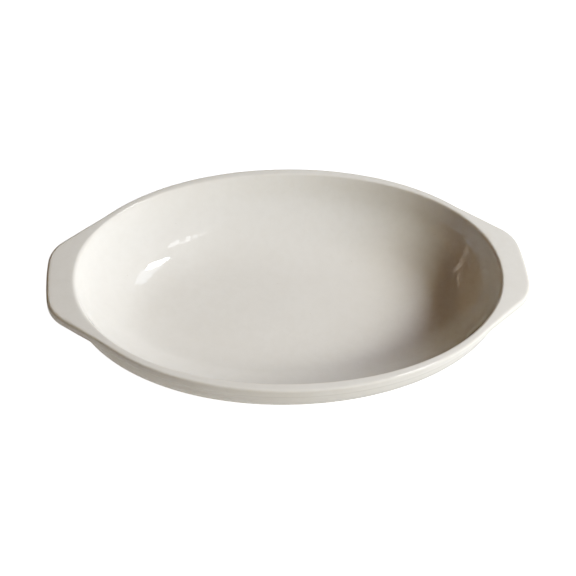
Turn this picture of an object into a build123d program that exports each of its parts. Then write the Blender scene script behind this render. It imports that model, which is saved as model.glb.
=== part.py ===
from build123d import *
import math
import os

os.makedirs("parts", exist_ok=True)

# ---------------------------------------------------------------------------
# Oval gratin dish with two lug handles: driving dimensions, all in mm.
# X runs along the length through both lugs, Y across, Z up.  The origin is the
# centre of the plane that the foot stands on.
# ---------------------------------------------------------------------------
LENGTH = 270.0          # over both lugs
RIM_A = 124.4           # outer rim oval, half length
RIM_B = 80.5            # outer rim oval, half width
OVAL_N = 2.03           # exponent of the outer oval (2 is an ellipse)
CAVITY_N = 2.08         # exponent of the cavity's ovals
HEIGHT = 40.0           # rim top above the table
FOOT_H = 2.0            # the foot lifts the bowl by this much
GLAZE = 0.35            # thickness of the glaze coat

LUG_T = 6.8             # thickness of the rim's edge and of the lugs
LUG_BOW = 1.7           # the lug's end is this much bowed
LUG_HALF = 22.7         # half width of the lug's end, to its sharp corner
LUG_CORNER = 9.9        # how far each lug corner is rounded back
LUG_ROOT_DEG = 23.7     # plan angle at which the flank meets the rim oval
LUG_ROOT_BLEND = 5.0    # how far past that angle the flank's blend runs
LUG_CUT_X = 106.0       # the lugs' own clay starts at this distance from centre
LUG_CUT_S = 3.0         # ... and this far inside the rim's edge

EDGE_TOP_R = 1.2        # rounding of the rim's outer edge, top
EDGE_LOW_R = 1.8        # rounding of the rim's outer edge, underneath
RIM_IN_R = 1.4          # rounding of the rim's inner edge

FOOT_S_OUT = 40.0       # foot ring: outer edge, measured in from the rim oval
FOOT_S_IN = 45.5        # foot ring: inner edge
FOOT_EDGE_R = 0.6       # its worn corners

# Profiles as (inset from the outer rim oval, height above the table).
OUTER_PROFILE = [
    (38.8, 2.0), (36.0, 2.95), (31.8, 4.3), (26.0, 6.2), (20.6, 8.3),
    (16.1, 10.5), (12.2, 12.9), (9.1, 15.3), (6.7, 17.7), (4.9, 19.9),
    (3.5, 22.1), (2.35, 24.6), (1.5, 27.2), (0.95, 30.0), (0.7, 32.6),
    (0.6, 35.0), (0.6, 37.4),
]
CAVITY_PROFILE = [
    (58.0, 7.4), (52.0, 7.52), (47.0, 7.8), (43.0, 8.2), (39.5, 8.75),
    (36.0, 9.55), (32.8, 10.6), (28.6, 12.5), (24.7, 14.7), (21.2, 17.1),
    (18.0, 19.5), (15.0, 22.1), (12.4, 24.9), (10.3, 27.8), (8.8, 30.6),
    (7.6, 33.4), (6.4, 36.6), (5.2, 40.0), (4.8, 41.4),
]


# ---------------------------------------------------------------------------
# Geometry helpers: plain numbers only
# ---------------------------------------------------------------------------
def oval_point(a, b, n, t):
    c, s = math.cos(t), math.sin(t)
    return (
        a * math.copysign(abs(c) ** (2.0 / n), c),
        b * math.copysign(abs(s) ** (2.0 / n), s),
    )


def oval_points(a, b, n, count=36):
    """Points of a closed oval, close to evenly spaced along it."""
    fine = [oval_point(a, b, n, 2 * math.pi * i / 2880) for i in range(2881)]
    run = [0.0]
    for p, q in zip(fine, fine[1:]):
        run.append(run[-1] + math.dist(p, q))
    out, j = [], 0
    for i in range(count):
        want = run[-1] * i / count
        while run[j + 1] < want:
            j += 1
        f = (want - run[j]) / (run[j + 1] - run[j])
        p, q = fine[j], fine[j + 1]
        out.append((p[0] + f * (q[0] - p[0]), p[1] + f * (q[1] - p[1])))
    return out


def moved_profile(profile, gap):
    """The profile moved sideways by gap, to its left as it climbs."""
    out = []
    for i, (s, z) in enumerate(profile):
        s0, z0 = profile[max(i - 1, 0)]
        s1, z1 = profile[min(i + 1, len(profile) - 1)]
        ds, dz = s1 - s0, z1 - z0
        length = math.hypot(ds, dz)
        out.append((s + gap * dz / length, z - gap * ds / length))
    return out


def crossing(p, d, q, e):
    """Where the line through p along d meets the line through q along e."""
    det = d[0] * e[1] - d[1] * e[0]
    k = ((q[0] - p[0]) * e[1] - (q[1] - p[1]) * e[0]) / det
    return (p[0] + k * d[0], p[1] + k * d[1])


def lug_quarter(inset):
    """The corners of one quarter of the rim's plan outline, moved in by inset.

    Returns the end of the lug's tip, the control point and end of its rounded
    corner, the start, control point and end of the blend into the rim oval,
    and the oval's points from there to the Y axis."""
    tip = LENGTH / 2 - inset
    a, b = RIM_A - inset, RIM_B - inset
    # the flank: from the sharp corner of the lug to the rim oval
    corner = (LENGTH / 2 - LUG_BOW, LUG_HALF)
    t = math.radians(LUG_ROOT_DEG)
    r = ((math.cos(t) / RIM_A) ** OVAL_N + (math.sin(t) / RIM_B) ** OVAL_N) ** (-1 / OVAL_N)
    root = (r * math.cos(t), r * math.sin(t))
    fl = (root[0] - corner[0], root[1] - corner[1])
    fn = math.hypot(*fl)
    flank = (fl[0] / fn, fl[1] / fn)
    normal = (-flank[1], flank[0])
    if normal[0] > 0:
        normal = (-normal[0], -normal[1])
    base = (corner[0] + normal[0] * inset, corner[1] + normal[1] * inset)
    # the tip: a shallow arc
    y0 = LUG_HALF - LUG_CORNER
    tip_end = (tip - LUG_BOW * (y0 / LUG_HALF) ** 2, y0)
    tip_dir = (-2 * LUG_BOW * y0 / LUG_HALF**2, 1.0)
    mid = crossing(tip_end, tip_dir, base, flank)
    reach = math.dist(tip_end, mid)
    corner_end = (mid[0] + flank[0] * reach, mid[1] + flank[1] * reach)
    # the blend into the oval
    fine = [oval_point(a, b, OVAL_N, math.pi / 2 * i / 3000) for i in range(3001)]
    side = [
        (p[0] - base[0]) * flank[1] - (p[1] - base[1]) * flank[0] for p in fine
    ]
    cross = next(i for i in range(1, 3001) if side[i - 1] * side[i] <= 0 and i > 100)
    run, end = 0.0, cross
    while run < LUG_ROOT_BLEND:
        run += math.dist(fine[end], fine[end + 1])
        end += 1
    blend_end = fine[end]
    tangent = (fine[end + 1][0] - fine[end - 1][0], fine[end + 1][1] - fine[end - 1][1])
    control = crossing(base, flank, blend_end, tangent)
    back = math.dist(control, blend_end)
    blend_start = (control[0] - flank[0] * back, control[1] - flank[1] * back)
    step = (3000 - end) / 14.0
    rest = [fine[min(3000, round(end + step * k))] for k in range(1, 15)]
    tn = math.hypot(*tangent)
    return {
        "tip": (tip, 0.0),
        "tip_end": tip_end,
        "corner": mid,
        "corner_end": corner_end,
        "blend_start": blend_start,
        "blend": control,
        "blend_end": blend_end,
        "tangent": (tangent[0] / tn, tangent[1] / tn),
        "oval": rest,
    }


def rim_outline(inset):
    """Points of the closed plan outline of the rim with its two lugs."""
    q = lug_quarter(inset)

    def bend(p0, p1, p2, count):
        out = []
        for i in range(1, count + 1):
            u = i / count
            out.append(tuple(
                (1 - u) ** 2 * a + 2 * u * (1 - u) * b + u**2 * c
                for a, b, c in zip(p0, p1, p2)
            ))
        return out

    tip, end = q["tip"], q["tip_end"]
    quarter = [tip]
    for i in range(1, 4):
        y = end[1] * i / 3
        quarter.append((tip[0] - (tip[0] - end[0]) * (y / end[1]) ** 2, y))
    quarter += bend(end, q["corner"], q["corner_end"], 5)
    for i in range(1, 4):
        u = i / 3
        quarter.append(tuple(
            a + u * (b - a) for a, b in zip(q["corner_end"], q["blend_start"])
        ))
    quarter += bend(q["blend_start"], q["blend"], q["blend_end"], 4)
    quarter += q["oval"]
    upper = quarter + [(-x, y) for x, y in quarter[:-1][::-1]]
    return upper + [(x, -y) for x, y in upper[1:-1][::-1]]


def spacing(points):
    """Curve parameters from 0 to 1 for a closed ring of points."""
    run = [0.0]
    for p, q in zip(points, points[1:] + points[:1]):
        run.append(run[-1] + math.dist(p, q))
    return [r / run[-1] for r in run]


def edge_sections(inset):
    """The rounded edge of the rim and lugs, as (moved in by, height)."""
    low, top = EDGE_LOW_R - inset, EDGE_TOP_R - inset
    base, crown = HEIGHT - LUG_T + inset, HEIGHT - inset
    out = []
    for deg in (0, 18, 36, 54, 72, 90):
        t = math.radians(deg)
        out.append((inset + low * (1 - math.sin(t)), base + low * (1 - math.cos(t))))
    for deg in (0, 18, 36, 54, 72, 90):
        t = math.radians(deg)
        out.append((inset + top * (1 - math.cos(t)), crown - top * (1 - math.sin(t))))
    return out


# Every section of a loft shares one spacing, so its surface stays light.
OVAL_SPACING = [i / 36 for i in range(37)]
RIM_SPACING = spacing(rim_outline(1.0))


def draw_oval(s, n):
    """The closed oval that lies s inside the outer rim oval."""
    add(Edge.make_spline(oval_points(RIM_A - s, RIM_B - s, n), periodic=True, parameters=OVAL_SPACING))


def draw_rim(inset):
    add(Edge.make_spline(rim_outline(inset), periodic=True, parameters=RIM_SPACING))


# ---------------------------------------------------------------------------
# The clay: bowl and lugs in one, before they are divided into named pieces.
# It lies one glaze thickness inside the finished surface.
# ---------------------------------------------------------------------------
with BuildPart() as clay_rim:
    for s, z in edge_sections(GLAZE):
        with BuildSketch(Plane.XY.offset(z)):
            with BuildLine():
                draw_rim(s)
            make_face()
    loft()

with BuildPart() as clay_cavity:
    for s, z in moved_profile(CAVITY_PROFILE, -GLAZE):
        with BuildSketch(Plane.XY.offset(z)):
            with BuildLine():
                draw_oval(s, CAVITY_N)
            make_face()
    loft()

with BuildPart() as clay:
    for i, (s, z) in enumerate(moved_profile(OUTER_PROFILE, GLAZE)):
        with BuildSketch(Plane.XY.offset(FOOT_H + GLAZE if i == 0 else z)):
            with BuildLine():
                draw_oval(s, OVAL_N)
            make_face()
    loft()
    add(clay_rim.part)
    add(clay_cavity.part, mode=Mode.SUBTRACT)
    inner_edge = clay.edges().group_by(Axis.Z)[-1].sort_by(SortBy.LENGTH)[0]
    fillet(inner_edge, RIM_IN_R - GLAZE)

# The room that the lugs' own clay takes out of the rim, at each end.
with BuildPart() as lug_room:
    with BuildSketch(Plane.XY.offset(HEIGHT - LUG_T - 1.0)):
        with Locations(((LUG_CUT_X + LENGTH / 2 + 5) / 2, 0)):
            Rectangle(LENGTH / 2 + 5 - LUG_CUT_X, 2 * RIM_B)
        with BuildLine(mode=Mode.PRIVATE) as cut_line:
            draw_oval(LUG_CUT_S, OVAL_N)
        make_face(cut_line.edges(), mode=Mode.SUBTRACT)
    extrude(amount=LUG_T + 2.0)

with BuildPart() as right_handle:
    add(clay.part)
    add(lug_room.part, mode=Mode.INTERSECT)
right_handle.part.label = "right_handle"

with BuildPart() as left_handle:
    add(clay.part)
    add(lug_room.part.mirror(Plane.YZ), mode=Mode.INTERSECT)
left_handle.part.label = "left_handle"

with BuildPart() as bowl:
    add(clay.part)
    add(lug_room.part, mode=Mode.SUBTRACT)
    add(lug_room.part.mirror(Plane.YZ), mode=Mode.SUBTRACT)
bowl.part.label = "bowl"

# ---------------------------------------------------------------------------
# The foot ring: bare clay, the only part of the dish that meets the table.
# ---------------------------------------------------------------------------
with BuildPart() as foot_ring:
    with BuildSketch():
        with BuildLine():
            draw_oval(FOOT_S_OUT, OVAL_N)
        make_face()
        with BuildLine():
            draw_oval(FOOT_S_IN, OVAL_N)
        make_face(mode=Mode.SUBTRACT)
    extrude(amount=FOOT_H + GLAZE)
    fillet(foot_ring.edges().group_by(Axis.Z)[0], FOOT_EDGE_R)
foot_ring.part.label = "foot_ring"

# ---------------------------------------------------------------------------
# The glaze: one thin glassy coat over the clay, inside, over the rim, round
# the lugs and down the outside, left off where the foot stands.
# ---------------------------------------------------------------------------
with BuildPart() as coat_rim:
    for s, z in edge_sections(0.0):
        with BuildSketch(Plane.XY.offset(z)):
            with BuildLine():
                draw_rim(s)
            make_face()
    loft()

with BuildPart() as coat_cavity:
    for s, z in CAVITY_PROFILE:
        with BuildSketch(Plane.XY.offset(z)):
            with BuildLine():
                draw_oval(s, CAVITY_N)
            make_face()
    loft()

with BuildPart() as glaze:
    for s, z in OUTER_PROFILE:
        with BuildSketch(Plane.XY.offset(z)):
            with BuildLine():
                draw_oval(s, OVAL_N)
            make_face()
    loft()
    add(coat_rim.part)
    add(coat_cavity.part, mode=Mode.SUBTRACT)
    coat_edge = glaze.edges().group_by(Axis.Z)[-1].sort_by(SortBy.LENGTH)[0]
    fillet(coat_edge, RIM_IN_R)
    add(clay.part, mode=Mode.SUBTRACT)
    add(foot_ring.part, mode=Mode.SUBTRACT)
glaze.part.label = "glaze"

# ---------------------------------------------------------------------------
for piece in (bowl, left_handle, right_handle, foot_ring, glaze):
    box = piece.part.bounding_box()
    print(
        f"{piece.part.label}: volume {piece.part.volume:.0f} mm3, solids {len(piece.part.solids())}, "
        f"size {box.size.X:.2f} x {box.size.Y:.2f} x {box.size.Z:.2f}, z {box.min.Z:.2f} to {box.max.Z:.2f}"
    )

export_step(bowl.part, "parts/bowl.step")
export_step(left_handle.part, "parts/left_handle.step")
export_step(right_handle.part, "parts/right_handle.step")
export_step(foot_ring.part, "parts/foot_ring.step")
export_step(glaze.part, "parts/glaze.step")
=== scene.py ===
import math

import bpy
import numpy as np
from mathutils import Matrix, Vector


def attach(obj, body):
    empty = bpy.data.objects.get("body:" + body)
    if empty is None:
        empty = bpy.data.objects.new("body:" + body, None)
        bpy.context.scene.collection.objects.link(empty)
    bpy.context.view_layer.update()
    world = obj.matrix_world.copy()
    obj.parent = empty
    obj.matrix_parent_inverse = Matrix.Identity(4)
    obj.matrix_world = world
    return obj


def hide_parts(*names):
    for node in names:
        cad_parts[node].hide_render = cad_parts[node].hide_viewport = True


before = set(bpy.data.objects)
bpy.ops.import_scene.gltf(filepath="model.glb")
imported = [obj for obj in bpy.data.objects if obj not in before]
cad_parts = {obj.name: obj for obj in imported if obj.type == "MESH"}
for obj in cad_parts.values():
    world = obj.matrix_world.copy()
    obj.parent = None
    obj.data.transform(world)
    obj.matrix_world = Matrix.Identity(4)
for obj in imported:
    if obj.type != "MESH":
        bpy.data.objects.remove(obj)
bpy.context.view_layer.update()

# GEOMETRY
# ---------------------------------------------------------------------------
# The dish in millimetres: X along its length, Y across, Z up, origin on the
# plane that the foot stands on.
# ---------------------------------------------------------------------------
LENGTH = 270.0
RIM_A, RIM_B = 124.4, 80.5  # half axes of the rim's outer oval
OVAL_N, CAVITY_N = 2.03, 2.08  # exponents of the outer and the cavity's ovals
HEIGHT = 40.0
LUG_T, LUG_BOW, LUG_HALF, LUG_CORNER = 6.8, 1.7, 22.7, 9.9
LUG_ROOT_DEG, LUG_ROOT_BLEND = 23.7, 5.0
EDGE_TOP_R, EDGE_LOW_R = 1.2, 1.8
LUG_TOP_R = 2.0  # rounding of the lugs' upper edge
RIM_IN_R, LUG_IN_R = 1.4, 2.4  # rounding of the cavity's edge, at the rim and at the lugs

COLUMNS = 560  # round the dish
ROWS_CAVITY, ROWS_LIP, ROWS_TOP, ROWS_EDGE, ROWS_WALL, ROWS_BASE = 52, 9, 9, 40, 26, 20

# Sections as (inset from the rim's outer oval, height).
CAVITY = [
    (66.0, 7.4), (62.0, 7.4), (57.5, 7.42), (52.0, 7.53), (47.0, 7.8), (43.0, 8.2),
    (39.5, 8.75), (36.0, 9.55), (32.8, 10.6), (28.6, 12.5), (24.7, 14.7), (21.2, 17.1),
    (18.0, 19.5), (15.0, 22.1), (12.4, 24.9), (10.3, 27.8), (8.8, 30.6), (7.6, 33.4),
    (6.4, 36.6), (5.2, 40.0), (4.8, 41.4),
]
# The rim's edge and the outer wall in one, where there is no lug.
EDGE = [
    (0.0, 38.8), (0.0, 38.0), (0.02, 37.1), (0.08, 36.0), (0.19, 34.6), (0.42, 32.4), (0.78, 30.0),
    (1.4, 27.2), (2.3, 24.6), (3.5, 22.1), (4.9, 19.9), (6.7, 17.7), (9.1, 15.3),
    (12.2, 12.9), (16.1, 10.5), (20.6, 8.3), (26.0, 6.2), (31.8, 4.3), (36.0, 2.98),
    (38.9, 2.06),
]
# The glazed underside: down the foot's outer side, through the foot where it is
# hidden, down the foot's inner side and out to the recess.
BASE = [
    (38.9, 2.06), (39.35, 1.93), (39.68, 1.62), (39.86, 1.22), (39.96, 0.86), (40.3, 0.74),
    (40.8, 1.0), (41.6, 1.4), (43.0, 1.5), (44.2, 1.4), (44.9, 1.0), (45.3, 0.74),
    (45.62, 0.86), (45.72, 1.22), (45.9, 1.62), (46.25, 1.95), (46.8, 2.08), (48.5, 2.1),
]


def ease(x, a=0.0, b=1.0):
    u = np.clip((np.asarray(x, float) - a) / (b - a), 0.0, 1.0)
    return u * u * (3 - 2 * u)


def lengths(p):
    return np.r_[0.0, np.cumsum(np.hypot(*np.diff(np.asarray(p, float), axis=0).T))]


def through(points, step=0.05):
    """A smooth curve through the points, sampled about every step."""
    p = np.asarray(points, float)
    run, n = lengths(p), len(p)
    h = np.diff(run)
    m, rhs = np.eye(n), np.zeros((n, 2))
    for i in range(1, n - 1):
        m[i, i - 1], m[i, i], m[i, i + 1] = h[i - 1], 2 * (h[i - 1] + h[i]), h[i]
        rhs[i] = 6 * ((p[i + 1] - p[i]) / h[i] - (p[i] - p[i - 1]) / h[i - 1])
    bend = np.linalg.solve(m, rhs)
    u = np.linspace(0, run[-1], int(run[-1] / step) + 2)
    k = np.clip(np.searchsorted(run, u, side="right") - 1, 0, n - 2)
    a, b = (run[k + 1] - u) / h[k], (u - run[k]) / h[k]
    return (
        a[:, None] * p[k] + b[:, None] * p[k + 1]
        + ((a**3 - a)[:, None] * bend[k] + (b**3 - b)[:, None] * bend[k + 1]) * (h[k] ** 2)[:, None] / 6
    )


def spaced(p, count, weight=None):
    """count points along the polyline p, evenly spaced, or closer where weight is larger."""
    run = lengths(p)
    if weight is not None:
        run = np.r_[0.0, np.cumsum(np.diff(run) * (weight[1:] + weight[:-1]) / 2)]
    u = np.linspace(0, run[-1], count)
    return np.stack([np.interp(u, run, p[:, i]) for i in range(2)], 1)


def crossing(p, d, q, e):
    det = d[0] * e[1] - d[1] * e[0]
    k = ((q[0] - p[0]) * e[1] - (q[1] - p[1]) * e[0]) / det
    return np.array([p[0] + k * d[0], p[1] + k * d[1]])


def oval_radial(c, s, n):
    return (np.abs(c) ** n + np.abs(s) ** n) ** (-1.0 / n)


def lug_outline():
    """One quarter of a lug's outline, from the middle of its end to the rim's oval."""
    corner = np.array([LENGTH / 2 - LUG_BOW, LUG_HALF])
    t = math.radians(LUG_ROOT_DEG)
    r = ((math.cos(t) / RIM_A) ** OVAL_N + (math.sin(t) / RIM_B) ** OVAL_N) ** (-1 / OVAL_N)
    root = np.array([r * math.cos(t), r * math.sin(t)])
    flank = (root - corner) / np.hypot(*(root - corner))
    y0 = LUG_HALF - LUG_CORNER
    y = np.linspace(0, y0, 200)
    tip = np.stack([LENGTH / 2 - LUG_BOW * (y / LUG_HALF) ** 2, y], 1)
    mid = crossing(tip[-1], (-2 * LUG_BOW * y0 / LUG_HALF**2, 1.0), corner, flank)
    reach = np.hypot(*(tip[-1] - mid))
    corner_end = mid + flank * reach
    a = np.linspace(0, math.pi / 2, 3001)
    ra = oval_radial(np.cos(a), np.sin(a), OVAL_N)
    oval = np.stack([RIM_A * ra * np.cos(a), RIM_B * ra * np.sin(a)], 1)
    side = (oval[:, 0] - corner[0]) * flank[1] - (oval[:, 1] - corner[1]) * flank[0]
    cross = next(i for i in range(101, 3001) if side[i - 1] * side[i] <= 0)
    run = lengths(oval)
    end = int(np.searchsorted(run, run[cross] + LUG_ROOT_BLEND))
    tangent = oval[end + 1] - oval[end - 1]
    control = crossing(corner, flank, oval[end], tangent)
    start = control - flank * np.hypot(*(control - oval[end]))
    u = np.linspace(0, 1, 200)[:, None]
    bend = lambda p, q, w: (1 - u) ** 2 * p + 2 * u * (1 - u) * q + u**2 * w
    return np.vstack([
        tip[:-1], bend(tip[-1], mid, corner_end)[:-1],
        (corner_end + u * (start - corner_end))[:-1], bend(start, control, oval[end]),
    ])


def plan_columns(count):
    """Each column's plan angle, how far the outline reaches beyond the oval there, and how slanted it is."""
    x, y = lug_outline().T
    lo, hi = np.full(len(x), -0.5), np.full(len(x), 14.0)
    for _ in range(48):
        mid = (lo + hi) / 2
        out = (x / (RIM_A + mid)) ** OVAL_N + (y / (RIM_B + mid)) ** OVAL_N > 1
        lo, hi = np.where(out, mid, lo), np.where(out, hi, mid)
    reach = (lo + hi) / 2
    angle = np.arctan2(y / (RIM_B + reach), x / (RIM_A + reach))
    fine = 14400
    t = 2 * np.pi * np.arange(fine) / fine
    fold = np.arctan2(np.abs(np.sin(t)), np.abs(np.cos(t)))
    e = np.where(fold < angle[-1], np.interp(fold, angle, reach), 0.0)
    k = np.arange(-60, 61)
    g = np.exp(-0.5 * (k / 11.0) ** 2)
    e = np.convolve(np.r_[e[-60:], e, e[:60]], g / g.sum(), mode="valid")
    c, s = np.cos(t), np.sin(t)
    r = oval_radial(c, s, OVAL_N)
    p = np.stack([r * (RIM_A + e) * c, r * (RIM_B + e) * s], 1)
    d = np.roll(p, -3, 0) - np.roll(p, 3, 0)
    d /= np.hypot(*d.T)[:, None]
    slant = np.clip(d[:, 1] * c - d[:, 0] * s, 0.55, 1.0)
    closed = np.vstack([p, p[:1]])
    run = lengths(closed)
    want = run[-1] * np.arange(count) / count
    tt = np.interp(want, run, np.r_[t, 2 * np.pi])
    return tt, np.interp(tt, np.r_[t, 2 * np.pi], np.r_[e, e[0]]), np.interp(tt, np.r_[t, 2 * np.pi], np.r_[slant, slant[0]])


def cavity_rows(radius, top):
    """Floor, wall and rounded lip of the cavity as (inset, height) rows."""
    wall = through(CAVITY)
    d = np.gradient(wall, axis=0)
    d /= np.hypot(*d.T)[:, None]
    moved = wall + radius * np.stack([-d[:, 1], d[:, 0]], 1)
    k = int(np.argmax((moved[:, 1] > top - radius) & (wall[:, 1] > 25)))
    centre = np.array([moved[k, 0], top - radius])
    start = math.atan2(*(wall[k] - centre)[::-1])
    a = np.linspace(start, math.pi / 2, 80)
    arc = centre + radius * np.stack([np.cos(a), np.sin(a)], 1)
    return np.vstack([spaced(wall[: k + 1], ROWS_CAVITY), spaced(arc, ROWS_LIP + 1)[1:]])


def section_rows(reach, slant):
    """Every column's section as rows of (how far out from the oval, height)."""
    top = HEIGHT - 0.02
    rim_in, lug_in = cavity_rows(RIM_IN_R, top), cavity_rows(LUG_IN_R, top)
    brow = HEIGHT - EDGE_TOP_R
    wall = through([(-s, z) for s, z in EDGE])
    arc = np.linspace(math.pi / 2, 0, 60)
    rim_edge = np.stack([-EDGE_TOP_R + EDGE_TOP_R * np.cos(arc), brow + (top - brow) * np.sin(arc)], 1)
    base_line = np.vstack([rim_edge, wall[1:]])
    cut = int(np.argmax(base_line[:, 1] < 27.6))
    low = HEIGHT - LUG_T
    centre = np.array([-3.0, 36.6])
    drop = centre[1] - low
    off = base_line[: cut + 1] - centre
    base_angle, base_r = np.arctan2(off[:, 1], off[:, 0]), np.hypot(*off.T)
    last = base_angle[-1]
    rest = spaced(base_line[cut:], ROWS_WALL + 1)[1:]
    under = spaced(through([(-s, z) for s, z in BASE], 0.02), ROWS_BASE + 1)[1:]
    out = []
    for e, sl in zip(reach, slant):
        w = float(ease(e, 0.0, 9.0))
        inner = rim_in * (1 - w) + lug_in * w
        inner = np.stack([-inner[:, 0], inner[:, 1]], 1)
        wide = 1 + (1 / sl - 1) * float(ease(e, 0.0, 1.5))
        crown = EDGE_TOP_R + (LUG_TOP_R - EDGE_TOP_R) * w
        brow = HEIGHT - crown
        r1, r2 = crown * wide, EDGE_LOW_R * wide
        a = np.linspace(math.pi / 2, 0, 60)
        up = np.stack([e - r1 + r1 * np.cos(a), brow + (top - brow) * np.sin(a)], 1)
        dn = np.stack([e - r2 + r2 * np.cos(a[::-1]), low + EDGE_LOW_R - EDGE_LOW_R * np.sin(a[::-1])], 1)
        side = np.stack([np.full(30, e), np.linspace(brow, low + EDGE_LOW_R, 32)[1:-1]], 1)
        slab = np.vstack([[(-2.9, top)], up, side, dn]) - centre
        slab_angle, slab_r = np.arctan2(slab[:, 1], slab[:, 0]), np.hypot(*slab.T)
        # rays from inside the rim: closest where the lug's end is far away
        first = math.atan2(top - centre[1], e - r1 - centre[0])
        near = math.atan2(-drop, e + 3.0)
        ray = np.unique(np.r_[np.linspace(first, last, 500), np.linspace(max(near * 2.5, -0.9), min(first, 0.5), 500)])[::-1]
        ray = ray[(ray <= first) & (ray >= last)]
        b = np.interp(ray, base_angle[::-1], base_r[::-1])
        # the slab's underside is straight, so it is met exactly
        s_r = np.interp(ray, slab_angle[::-1], slab_r[::-1])
        flat = ray < slab_angle[-1]
        s_r = np.where(flat, -drop / np.minimum(np.sin(ray), -0.05), s_r)
        k = 9.0 * float(ease(e, 0.0, 7.0)) * ease(-ray, 0.10, 0.42) + 1e-6
        h = np.clip(0.5 + 0.5 * (s_r - b) / k, 0, 1)
        r = b + (s_r - b) * h + k * h * (1 - h)
        edge = centre + r[:, None] * np.stack([np.cos(ray), np.sin(ray)], 1)
        d = np.gradient(edge, axis=0)
        turn = np.abs(np.gradient(np.unwrap(np.arctan2(d[:, 1], d[:, 0])))) / np.maximum(np.hypot(*d.T), 1e-6)
        g = np.exp(-0.5 * (np.arange(-25, 26) / 10.0) ** 2)
        turn = np.convolve(np.pad(np.minimum(turn, 0.8), 25, mode="edge"), g / g.sum(), mode="valid")
        edge_rows = spaced(edge, ROWS_EDGE + 1, 1 + 3.0 * turn)[1:]
        a0, a1 = inner[-1], edge[0]
        u = np.linspace(0, 1, ROWS_TOP + 1)[1:, None]
        flat_top = a0 + u * (a1 - a0)
        out.append(np.vstack([inner, flat_top, edge_rows, rest, under]))
    return np.array(out)


def soften(rows, span, keep):
    """Blends each section's curvature along its own length, over about span mm, where keep is 0."""
    out = rows.copy()
    step = np.hypot(*np.moveaxis(np.diff(rows, axis=1), 2, 0))
    for _ in range(6):
        a, b = step[:, :-1, None], step[:, 1:, None]
        mid = (rows[:, :-2] * b + rows[:, 2:] * a) / (a + b)
        pull = np.minimum(1.0, span**2 / (6.0 * a * b)) * 0.5
        out[:, 1:-1] = rows[:, 1:-1] + (mid - rows[:, 1:-1]) * pull * (1 - keep[None, 1:-1, None])
        rows = out.copy()
        step = np.hypot(*np.moveaxis(np.diff(rows, axis=1), 2, 0))
    return out


def place(t, e, n):
    c, s = np.cos(t), np.sin(t)
    r = oval_radial(c, s, n)
    return r * (RIM_A + e) * c, r * (RIM_B + e) * s


def disc_cap(ring, index, up):
    """Fills a ring of points with two coarser rings and a grid. Returns the new points and the faces."""
    n = len(ring)
    xy, z = ring[:, :2], ring[:, 2]
    points, faces = [], []
    start = 10**9  # new points are numbered from here and moved to their place later
    prev, prev_ids = ring, np.asarray(index)
    for f in (0.93, 0.85):
        half = ring[:: n // (len(prev) // 2)].copy()
        half[:, :2] *= f
        ids = start + len(points) + np.arange(len(half))
        points.extend(half)
        m = len(half)
        for k in range(m):
            o0, o1, o2 = prev_ids[2 * k], prev_ids[2 * k + 1], prev_ids[(2 * k + 2) % (2 * m)]
            i0, i1 = ids[k], ids[(k + 1) % m]
            faces += [(i0, o0, o1), (i0, o1, i1), (i1, o1, o2)]
        prev, prev_ids = half, ids
    for f in (0.79, 0.73):
        same = prev.copy()
        same[:, :2] = ring[:: n // len(prev), :2] * f
        ids = start + len(points) + np.arange(len(same))
        points.extend(same)
        m = len(same)
        for k in range(m):
            faces.append((ids[k], prev_ids[k], prev_ids[(k + 1) % m], ids[(k + 1) % m]))
        prev, prev_ids = same, ids
    m = len(prev)
    q = m // 4
    first = int(np.argmin(np.abs(np.arctan2(prev[:, 1] / RIM_B, prev[:, 0] / RIM_A) + 3 * np.pi / 4)))
    b, b_ids = np.roll(prev, -first, 0), np.roll(prev_ids, -first)
    grid_ids = np.zeros((q + 1, q + 1), int)
    u = np.arange(q + 1) / q
    for i in range(q + 1):
        grid_ids[i, 0], grid_ids[q, i] = b_ids[i], b_ids[q + i]
        grid_ids[i, q], grid_ids[0, i] = b_ids[3 * q - i], b_ids[(4 * q - i) % m]
    for i in range(1, q):
        for j in range(1, q):
            p = (
                (1 - u[j]) * b[i] + u[j] * b[3 * q - i] + (1 - u[i]) * b[(4 * q - j) % m] + u[i] * b[q + j]
                - (1 - u[i]) * (1 - u[j]) * b[0] - u[i] * (1 - u[j]) * b[q]
                - u[i] * u[j] * b[2 * q] - (1 - u[i]) * u[j] * b[3 * q]
            )
            grid_ids[i, j] = start + len(points)
            points.append(p)
    for i in range(q):
        for j in range(q):
            faces.append((grid_ids[i, j], grid_ids[i + 1, j], grid_ids[i + 1, j + 1], grid_ids[i, j + 1]))
    if not up:
        faces = [f[::-1] for f in faces]
    return np.array(points), faces, start


def waves(p, seed, count, short, long):
    """Slow waviness between -1 and 1 at the points p, from a fixed set of plane waves."""
    rng = np.random.default_rng(seed)
    total, most = np.zeros(len(p)), 0.0
    for _ in range(count):
        d = rng.normal(size=3)
        d /= np.linalg.norm(d)
        size = short * (long / short) ** rng.random()
        amount = (size / long) ** 0.8
        total += amount * np.sin(p @ (d * 2 * np.pi / size) + rng.random() * 2 * np.pi)
        most += amount
    return total / most * 1.6


def normals_of(points, faces):
    n = np.zeros_like(points)
    for size in (3, 4):
        f = np.array([x for x in faces if len(x) == size])
        if not len(f):
            continue
        a, b, c = points[f[:, 0]], points[f[:, 1]], points[f[:, 2]]
        normal = np.cross(b - a, c - a) if size == 3 else np.cross(c - a, points[f[:, 3]] - b)
        for k in range(size):
            np.add.at(n, f[:, k], normal)
    return n / np.maximum(np.linalg.norm(n, axis=1), 1e-12)[:, None]


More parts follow.
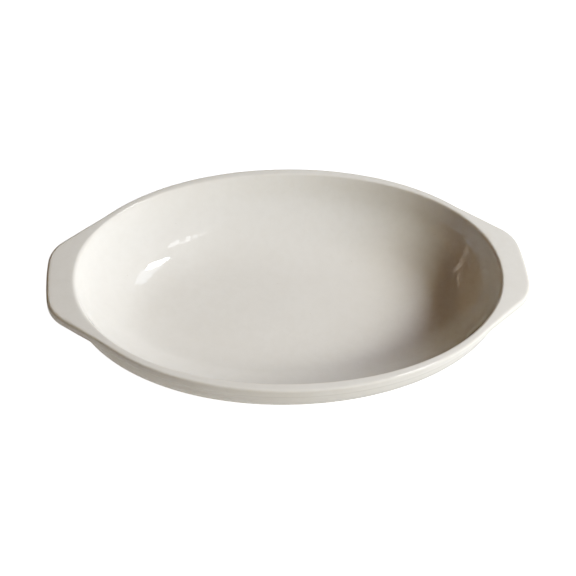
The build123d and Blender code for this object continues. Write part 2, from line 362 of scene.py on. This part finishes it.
def dish_mesh():
    """Points, faces, and two point values: convex edges (thin glaze) and concave turns (pooled glaze)."""
    t, reach, slant = plan_columns(COLUMNS)
    rows = section_rows(reach, slant)
    count = rows.shape[1]
    keep = np.zeros(count)
    keep[: ROWS_CAVITY - 6] = 1
    keep[-ROWS_BASE:] = 1
    keep[-ROWS_BASE - ROWS_WALL + 3 : -ROWS_BASE] = 1
    rows = soften(rows, 0.45, keep)
    # the glaze stops a little unevenly on the foot's sides
    line = 0.11 * np.sin(7 * t + 0.6) + 0.09 * np.sin(17 * t + 2.1) + 0.05 * np.sin(41 * t + 4.0)
    near = np.exp(-((rows[:, -ROWS_BASE:, 1] - 0.8) / 0.35) ** 2)
    rows[:, -ROWS_BASE:, 1] += 0.8 * near * line[:, None]
    blend = np.full(count, OVAL_N)
    lip = ROWS_CAVITY + ROWS_LIP
    blend[:lip] = CAVITY_N
    blend[lip : lip + ROWS_TOP] = CAVITY_N + (OVAL_N - CAVITY_N) * ease(np.arange(1, ROWS_TOP + 1) / ROWS_TOP)
    x, y = place(t[:, None], rows[:, :, 0], blend[None, :])
    points = np.stack([x, y, rows[:, :, 1]], 2)
    d = np.gradient(rows, axis=1)
    angle = np.unwrap(np.arctan2(d[..., 1], d[..., 0]), axis=1)
    bend = -np.gradient(angle, axis=1) / np.maximum(np.hypot(d[..., 0], d[..., 1]), 1e-4)
    thin = np.clip(bend * 2.2, 0, 1)
    pool = np.clip(-bend * 12.0, 0, 1)
    ids = np.arange(COLUMNS * count).reshape(COLUMNS, count)
    nxt = np.roll(ids, -1, 0)
    faces = np.stack([ids[:, :-1], ids[:, 1:], nxt[:, 1:], nxt[:, :-1]], 2).reshape(-1, 4).tolist()
    flat = points.reshape(-1, 3)
    thin, pool = thin.reshape(-1), pool.reshape(-1)
    for row, up in ((0, True), (count - 1, False)):
        new, more, start = disc_cap(points[:, row], ids[:, row], up)
        at = len(flat)
        more = [tuple(v - start + at if v >= start else v for v in f) for f in more]
        flat = np.vstack([flat, new])
        faces += more
        thin, pool = np.r_[thin, np.zeros(len(new))], np.r_[pool, np.zeros(len(new))]
    n = normals_of(flat, faces)
    swell = 0.62 * waves(flat, 11, 22, 22.0, 75.0) + 0.38 * waves(flat, 4, 24, 7.0, 20.0)
    calm = ease(flat[:, 2], 0.4, 4.0)
    flat = flat - n * (0.13 * (0.5 + 0.5 * np.clip(swell, -1, 1)) * (0.15 + 0.85 * calm))[:, None]
    return flat, faces, thin, pool, (t, reach, slant, rows, points)


def foot_mesh():
    """The bare foot ring: a closed loop of its worn section."""
    cols = 360
    t = 2 * np.pi * np.arange(cols) / cols
    half, top, r = 2.65, 2.3, 0.62
    corner = np.linspace(0, np.pi / 2, 7)
    # from the top's outer edge down, across the standing face and up again
    line = [(half, top), (half + 0.02, 1.5), (half, 1.0)]
    line += [(half - r + r * math.cos(a), r - r * math.sin(a)) for a in corner]
    line += [(half * f, 0.0) for f in (0.5, 0.17, -0.17, -0.5)]
    line += [(-(half - r + r * math.cos(a)), r - r * math.sin(a)) for a in corner[::-1]]
    line += [(-half, 1.0), (-half - 0.02, 1.5), (-half, top)]
    line = np.array(line)
    m = len(line)
    e = -42.75 + line[:, 0]
    x, y = place(t[:, None], e[None, :], OVAL_N)
    z = np.broadcast_to(line[:, 1], (cols, m)).copy()
    points = np.stack([x, y, z], 2)
    worn = waves(points.reshape(-1, 3), 31, 20, 5.0, 22.0).reshape(cols, m)
    points[:, :, 2] += np.where((z > 0.05) & (z < 0.7), 0.05 * worn, 0)
    ids = np.arange(cols * m).reshape(cols, m)
    nxt = np.roll(ids, -1, 0)
    nid = np.roll(ids, -1, 1)
    faces = np.stack([ids, nid, np.roll(nid, -1, 0), nxt], 2).reshape(-1, 4).tolist()
    return points.reshape(-1, 3), faces
# END GEOMETRY


def make_object(name, points, faces, values=()):
    mesh = bpy.data.meshes.new(name)
    mesh.from_pydata((points * 0.001).tolist(), [], [tuple(int(v) for v in f) for f in faces])
    mesh.update()
    mesh.polygons.foreach_set("use_smooth", [True] * len(mesh.polygons))
    for label, data in values:
        mesh.attributes.new(label, "FLOAT", "POINT").data.foreach_set("value", data.astype(np.float32))
    obj = bpy.data.objects.new(name, mesh)
    bpy.context.scene.collection.objects.link(obj)
    return obj


# ---------------------------------------------------------------------------
# Materials
# ---------------------------------------------------------------------------
class Nodes:
    """Short names for building a node tree."""

    def __init__(self, name):
        self.mat = bpy.data.materials.new(name)
        self.mat.use_nodes = True
        self.tree = self.mat.node_tree
        self.tree.nodes.clear()

    def add(self, kind, links=(), **values):
        node = self.tree.nodes.new(kind)
        for key, value in values.items():
            setattr(node, key, value)
        for socket, source in links:
            target = node.inputs[socket]
            if isinstance(source, (int, float, tuple)):
                target.default_value = source
            else:
                self.tree.links.new(source, target)
        return node

    def noise(self, where, scale, detail=3.0, rough=0.5, warp=0.0):
        n = self.add("ShaderNodeTexNoise", [("Vector", where), ("Scale", scale), ("Detail", detail), ("Roughness", rough), ("Distortion", warp)])
        return n.outputs["Fac"]

    def remap(self, value, a, b, c, d, smooth=True):
        n = self.add("ShaderNodeMapRange", [("Value", value), ("From Min", a), ("From Max", b), ("To Min", c), ("To Max", d)])
        n.interpolation_type = "SMOOTHSTEP" if smooth else "LINEAR"
        return n.outputs["Result"]

    def math(self, op, a, b=0.0, c=0.0):
        return self.add("ShaderNodeMath", [(0, a), (1, b), (2, c)], operation=op).outputs[0]

    def mix(self, factor, a, b):
        n = self.add("ShaderNodeMix", data_type="RGBA")
        for socket, source in ((0, factor), (6, a), (7, b)):
            if isinstance(source, (int, float, tuple)):
                n.inputs[socket].default_value = source
            else:
                self.tree.links.new(source, n.inputs[socket])
        return n.outputs[2]


def glaze_material():
    m = Nodes("cream_glaze")
    where = m.add("ShaderNodeTexCoord").outputs["Object"]
    thin = m.add("ShaderNodeAttribute", attribute_name="thin").outputs["Fac"]
    pool = m.add("ShaderNodeAttribute", attribute_name="pool").outputs["Fac"]
    cloud = m.remap(m.noise(where, 16.0, 3.0, 0.5, 0.4), 0.3, 0.7, 0.0, 1.0)
    colour = m.mix(cloud, (0.780, 0.752, 0.700, 1.0), (0.810, 0.786, 0.738, 1.0))
    mottle = m.remap(m.noise(where, 210.0, 4.0, 0.6), 0.35, 0.68, 0.0, 0.34)
    colour = m.mix(mottle, colour, (0.742, 0.712, 0.656, 1.0))
    # thin glaze on the rounded edges lets the warmer, paler clay show a little
    broken = m.math("MULTIPLY", thin, m.remap(m.noise(where, 120.0, 3.0, 0.6), 0.35, 0.65, 0.25, 0.55))
    colour = m.mix(broken, colour, (0.835, 0.795, 0.722, 1.0))
    # thick glaze in the hollow turns is a touch cooler and deeper
    colour = m.mix(m.math("MULTIPLY", pool, 0.22), colour, (0.700, 0.688, 0.640, 1.0))
    # a few iron specks, about a quarter of a millimetre across
    cell = m.add("ShaderNodeTexVoronoi", [("Vector", where), ("Scale", 240.0), ("Randomness", 1.0)])
    dot = m.remap(cell.outputs["Distance"], 0.03, 0.07, 1.0, 0.0)
    chosen = m.remap(m.add("ShaderNodeSeparateColor", [(0, cell.outputs["Color"])]).outputs[0], 0.955, 0.97, 0.0, 0.6)
    colour = m.mix(m.math("MULTIPLY", dot, chosen), colour, (0.36, 0.29, 0.22, 1.0))
    rough = m.remap(m.noise(where, 34.0, 4.0, 0.6), 0.3, 0.72, 0.025, 0.055)
    rough = m.math("ADD", rough, m.math("MULTIPLY", thin, 0.015))
    peel = m.math("ADD", m.math("MULTIPLY", m.noise(where, 150.0, 2.0, 0.45), 1.0), m.math("MULTIPLY", m.noise(where, 430.0, 2.0, 0.5), 0.30))
    pits = m.math("MULTIPLY", m.math("MULTIPLY", dot, chosen), -1.2)
    bump = m.add("ShaderNodeBump", [("Strength", 0.26), ("Distance", 0.0002), ("Height", m.math("ADD", peel, pits))])
    shader = m.add("ShaderNodeBsdfPrincipled", [
        ("Base Color", colour), ("Roughness", rough), ("Normal", bump.outputs[0]), ("IOR", 1.52),
    ])
    m.add("ShaderNodeOutputMaterial", [("Surface", shader.outputs[0])])
    return m.mat


def clay_material():
    m = Nodes("bare_clay")
    where = m.add("ShaderNodeTexCoord").outputs["Object"]
    cloud = m.remap(m.noise(where, 40.0, 4.0, 0.6), 0.3, 0.7, 0.0, 1.0)
    colour = m.mix(cloud, (0.66, 0.585, 0.480, 1.0), (0.74, 0.680, 0.590, 1.0))
    grain = m.remap(m.noise(where, 1500.0, 3.0, 0.7), 0.38, 0.62, 0.0, 0.5)
    colour = m.mix(grain, colour, (0.54, 0.47, 0.38, 1.0))
    # grey marks where the foot has slid on shelves
    height = m.add("ShaderNodeSeparateXYZ", [(0, where)]).outputs[2]
    low = m.remap(height, 0.00005, 0.0006, 1.0, 0.0)
    scuff = m.math("MULTIPLY", low, m.remap(m.noise(where, 95.0, 5.0, 0.7, 1.2), 0.5, 0.66, 0.0, 0.5))
    colour = m.mix(scuff, colour, (0.40, 0.385, 0.37, 1.0))
    rough = m.remap(m.noise(where, 300.0, 3.0, 0.6), 0.3, 0.7, 0.72, 0.92)
    height = m.math("ADD", m.noise(where, 900.0, 4.0, 0.7), m.math("MULTIPLY", m.noise(where, 3200.0, 2.0, 0.6), 0.5))
    bump = m.add("ShaderNodeBump", [("Strength", 0.55), ("Distance", 0.0002), ("Height", height)])
    shader = m.add("ShaderNodeBsdfPrincipled", [
        ("Base Color", colour), ("Roughness", rough), ("Normal", bump.outputs[0]), ("IOR", 1.5),
    ])
    m.add("ShaderNodeOutputMaterial", [("Surface", shader.outputs[0])])
    return m.mat


def floor_material(name, tone, glow, tint):
    m = Nodes(name)
    where = m.add("ShaderNodeTexCoord").outputs["Object"]
    colour = m.mix(m.noise(where, 3.0, 2.0), (tone, tone, tone, 1.0), (tone + 0.015, tone + 0.015, tone + 0.015, 1.0))
    shader = m.add("ShaderNodeBsdfPrincipled", [
        ("Base Color", colour), ("Roughness", 0.9), ("Emission Color", tint), ("Emission Strength", glow),
    ])
    m.add("ShaderNodeOutputMaterial", [("Surface", shader.outputs[0])])
    return m.mat


# ---------------------------------------------------------------------------
# The pieces
# ---------------------------------------------------------------------------
points, faces, thin, pool, _ = dish_mesh()
dish = make_object("glazed_dish", points, faces, (("thin", thin), ("pool", pool)))
dish.data.materials.append(glaze_material())
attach(dish, "root")
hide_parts("bowl", "left_handle", "right_handle", "glaze")

points, faces = foot_mesh()
foot = make_object("bare_foot_ring", points, faces)
foot.data.materials.append(clay_material())
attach(foot, "root")
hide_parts("foot_ring")

# ---------------------------------------------------------------------------
# Floor, light and camera
# ---------------------------------------------------------------------------
# The floor that is seen is a white, evenly lit table. Just under it lies the
# floor that lights the dish from below.
for name, height, tone, glow, tint in (
    ("floor", -0.00002, 0.90, 2.9, (1.0, 1.0, 1.0, 1.0)),
    ("floor_bounce", -0.00004, 0.45, 0.74, (1.0, 0.945, 0.84, 1.0)),
):
    bpy.ops.mesh.primitive_plane_add(size=6.0, location=(0, 0, height))
    plane = bpy.context.object
    plane.name = name
    plane.data.materials.append(floor_material("pale_" + name, tone, glow, tint))
bpy.data.objects["floor"].visible_diffuse = False
bpy.data.objects["floor"].visible_glossy = False
bpy.data.objects["floor"].visible_shadow = False


def lamp(name, at, along, size, power, colour, diffuse=True, glossy=True, face=None):
    """An area lamp at a point, its first side in the direction along, facing the dish or the way given."""
    data = bpy.data.lights.new(name, "AREA")
    data.shape = "RECTANGLE"
    data.size, data.size_y = size
    data.energy = power
    data.color = colour
    obj = bpy.data.objects.new(name, data)
    bpy.context.scene.collection.objects.link(obj)
    z = (Vector(at) - Vector((0, 0, 0.03))).normalized() if face is None else -Vector(face)
    x = Vector(along)
    x = (x - z * x.dot(z)).normalized()
    obj.matrix_world = Matrix.Translation(at) @ Matrix((x, z.cross(x), z)).transposed().to_4x4()
    obj.visible_diffuse = diffuse
    obj.visible_glossy = glossy
    return obj


def panel(name, at, along, size, radiance, face=None, colour=(1.0, 1.0, 1.0)):
    """A panel that the glaze mirrors, given by how bright it looks."""
    return lamp(name, at, along, size, radiance * math.pi * size[0] * size[1], colour, diffuse=False, face=face)


def sky(azimuth, elevation, distance=1.5):
    a, e = math.radians(azimuth), math.radians(elevation)
    return (distance * math.cos(e) * math.cos(a), distance * math.cos(e) * math.sin(a), distance * math.sin(e))


# A wide window on the right, brighter towards its ends, and two weak fills.
lamp("window", sky(-13.8, 30.5), (0, 1, 0), (1.07, 0.56), 58.8, (0.663, 0.801, 1.0), glossy=False)
lamp("window_near", sky(-28, 32), (0, 1, 0), (0.5, 0.45), 32.3, (1.0, 0.886, 0.594), glossy=False)
lamp("window_far", sky(2, 32), (0, 1, 0), (0.5, 0.45), 15.5, (1.0, 0.877, 0.814), glossy=False)
lamp("far_side", sky(90, 50), (1, 0, 0), (0.4, 0.4), 4.6, (1.0, 0.767, 0.488), glossy=False)
lamp("near_side", sky(-90, 50), (1, 0, 0), (0.4, 0.4), 1.6, (1.0, 0.30, 0.12), glossy=False)

# What the glaze mirrors: two panes under the ceiling, the second with bars, and
# a pale wall on the left with a lit frame.
DOWN = (0, 0, -1)
panel("pane_bright", (0.637, -0.008, 1.36), (1, 0, 0), (0.26, 0.17), 130.0, DOWN)
panel("pane_dim", (0.685, 0.265, 1.361), (0.12, 1, 0), (0.38, 0.38), 12.0, DOWN, (0.82, 0.91, 1.0))
SLANT = (-0.36, 1, 0)
panel("bar_1", (0.655, -0.442, 1.36), SLANT, (0.16, 0.10), 15.0, DOWN)
panel("bar_2", (0.557, -0.490, 1.36), SLANT, (0.20, 0.040), 16.0, DOWN)
panel("bar_3", (0.497, -0.513, 1.36), SLANT, (0.15, 0.040), 12.0, DOWN)
panel("bar_4", (0.460, -0.555, 1.36), SLANT, (0.10, 0.024), 12.0, DOWN)
WARM = (1.0, 0.705, 0.375)
TAN = (1.0, 0.87, 0.72)
EAST = (1, 0, 0)
panel("left_wall", (-1.2, 1.05, 0.42), (0, 1, 0), (3.9, 1.6), 1.12, EAST, WARM)
panel("left_post", (-1.19, 0.00, 0.42), (0, 0.21, 0.48), (0.50, 0.10), 3.6, EAST, TAN)
panel("left_beam", (-1.19, 0.305, 1.06), (0, 0.258, 0.483), (0.56, 0.13), 4.2, EAST, TAN)
panel("left_rail", (-1.19, 0.79, 1.20), (0, 1, 0), (0.46, 0.08), 3.4, EAST, TAN)
panel("left_slat", (-1.19, -0.29, 0.77), (0, 1, -0.1), (0.28, 0.06), 3.6, EAST, TAN)

world = bpy.data.worlds.new("studio")
bpy.context.scene.world = world
world.use_nodes = True
world.node_tree.nodes["Background"].inputs["Color"].default_value = (1.0, 0.80, 0.55, 1.0)
world.node_tree.nodes["Background"].inputs["Strength"].default_value = 0.004

# The camera looks down at 50 degrees, a little from the left, and is slightly rolled.
TILT, TURN, ROLL = math.radians(50.0), math.radians(10.32), math.radians(-6.0)
DISTANCE = 0.6467
turn = Matrix.Rotation(-TURN, 3, "Z")
right0 = turn @ Vector((1, 0, 0))
up0 = turn @ Vector((0, math.sin(TILT), math.cos(TILT)))
back = turn @ Vector((0, -math.cos(TILT), math.sin(TILT)))
right = right0 * math.cos(ROLL) - up0 * math.sin(ROLL)
up = right0 * math.sin(ROLL) + up0 * math.cos(ROLL)
data = bpy.data.cameras.new("camera")
data.sensor_fit = "HORIZONTAL"
data.sensor_width = 36.0
data.lens = 2.416 * 479.0 / 576.0 * 36.0
data.shift_x = -3.6 / 576.0
data.shift_y = -15.4 / 576.0
camera = bpy.data.objects.new("camera", data)
bpy.context.scene.collection.objects.link(camera)
camera.matrix_world = Matrix.Translation(Vector((0, 0, 0.0385)) + back * DISTANCE) @ Matrix((right, up, back)).transposed().to_4x4()
bpy.context.scene.camera = camera

# The camera's response: a slight contrast in the dark and a soft shoulder up to white.
WHITE, CONTRAST = 3.0, 1.4
view = bpy.context.scene.view_settings
view.view_transform = "Standard"
view.look = "None"
view.use_curve_mapping = True
curves = view.curve_mapping
curves.white_level = (WHITE, WHITE, WHITE)
curve = curves.curves[3]
curve.points[0].location = (0.0, 0.0)
curve.points[-1].location = (1.0, 1.0)
for v in (0.012, 0.025, 0.045, 0.075, 0.11, 0.16, 0.22, 0.30, 0.40, 0.52, 0.66, 0.82):
    light = v * WHITE
    curve.points.new(v, (light * (1 + light / WHITE**2) / (1 + light)) ** CONTRAST)
curves.update()
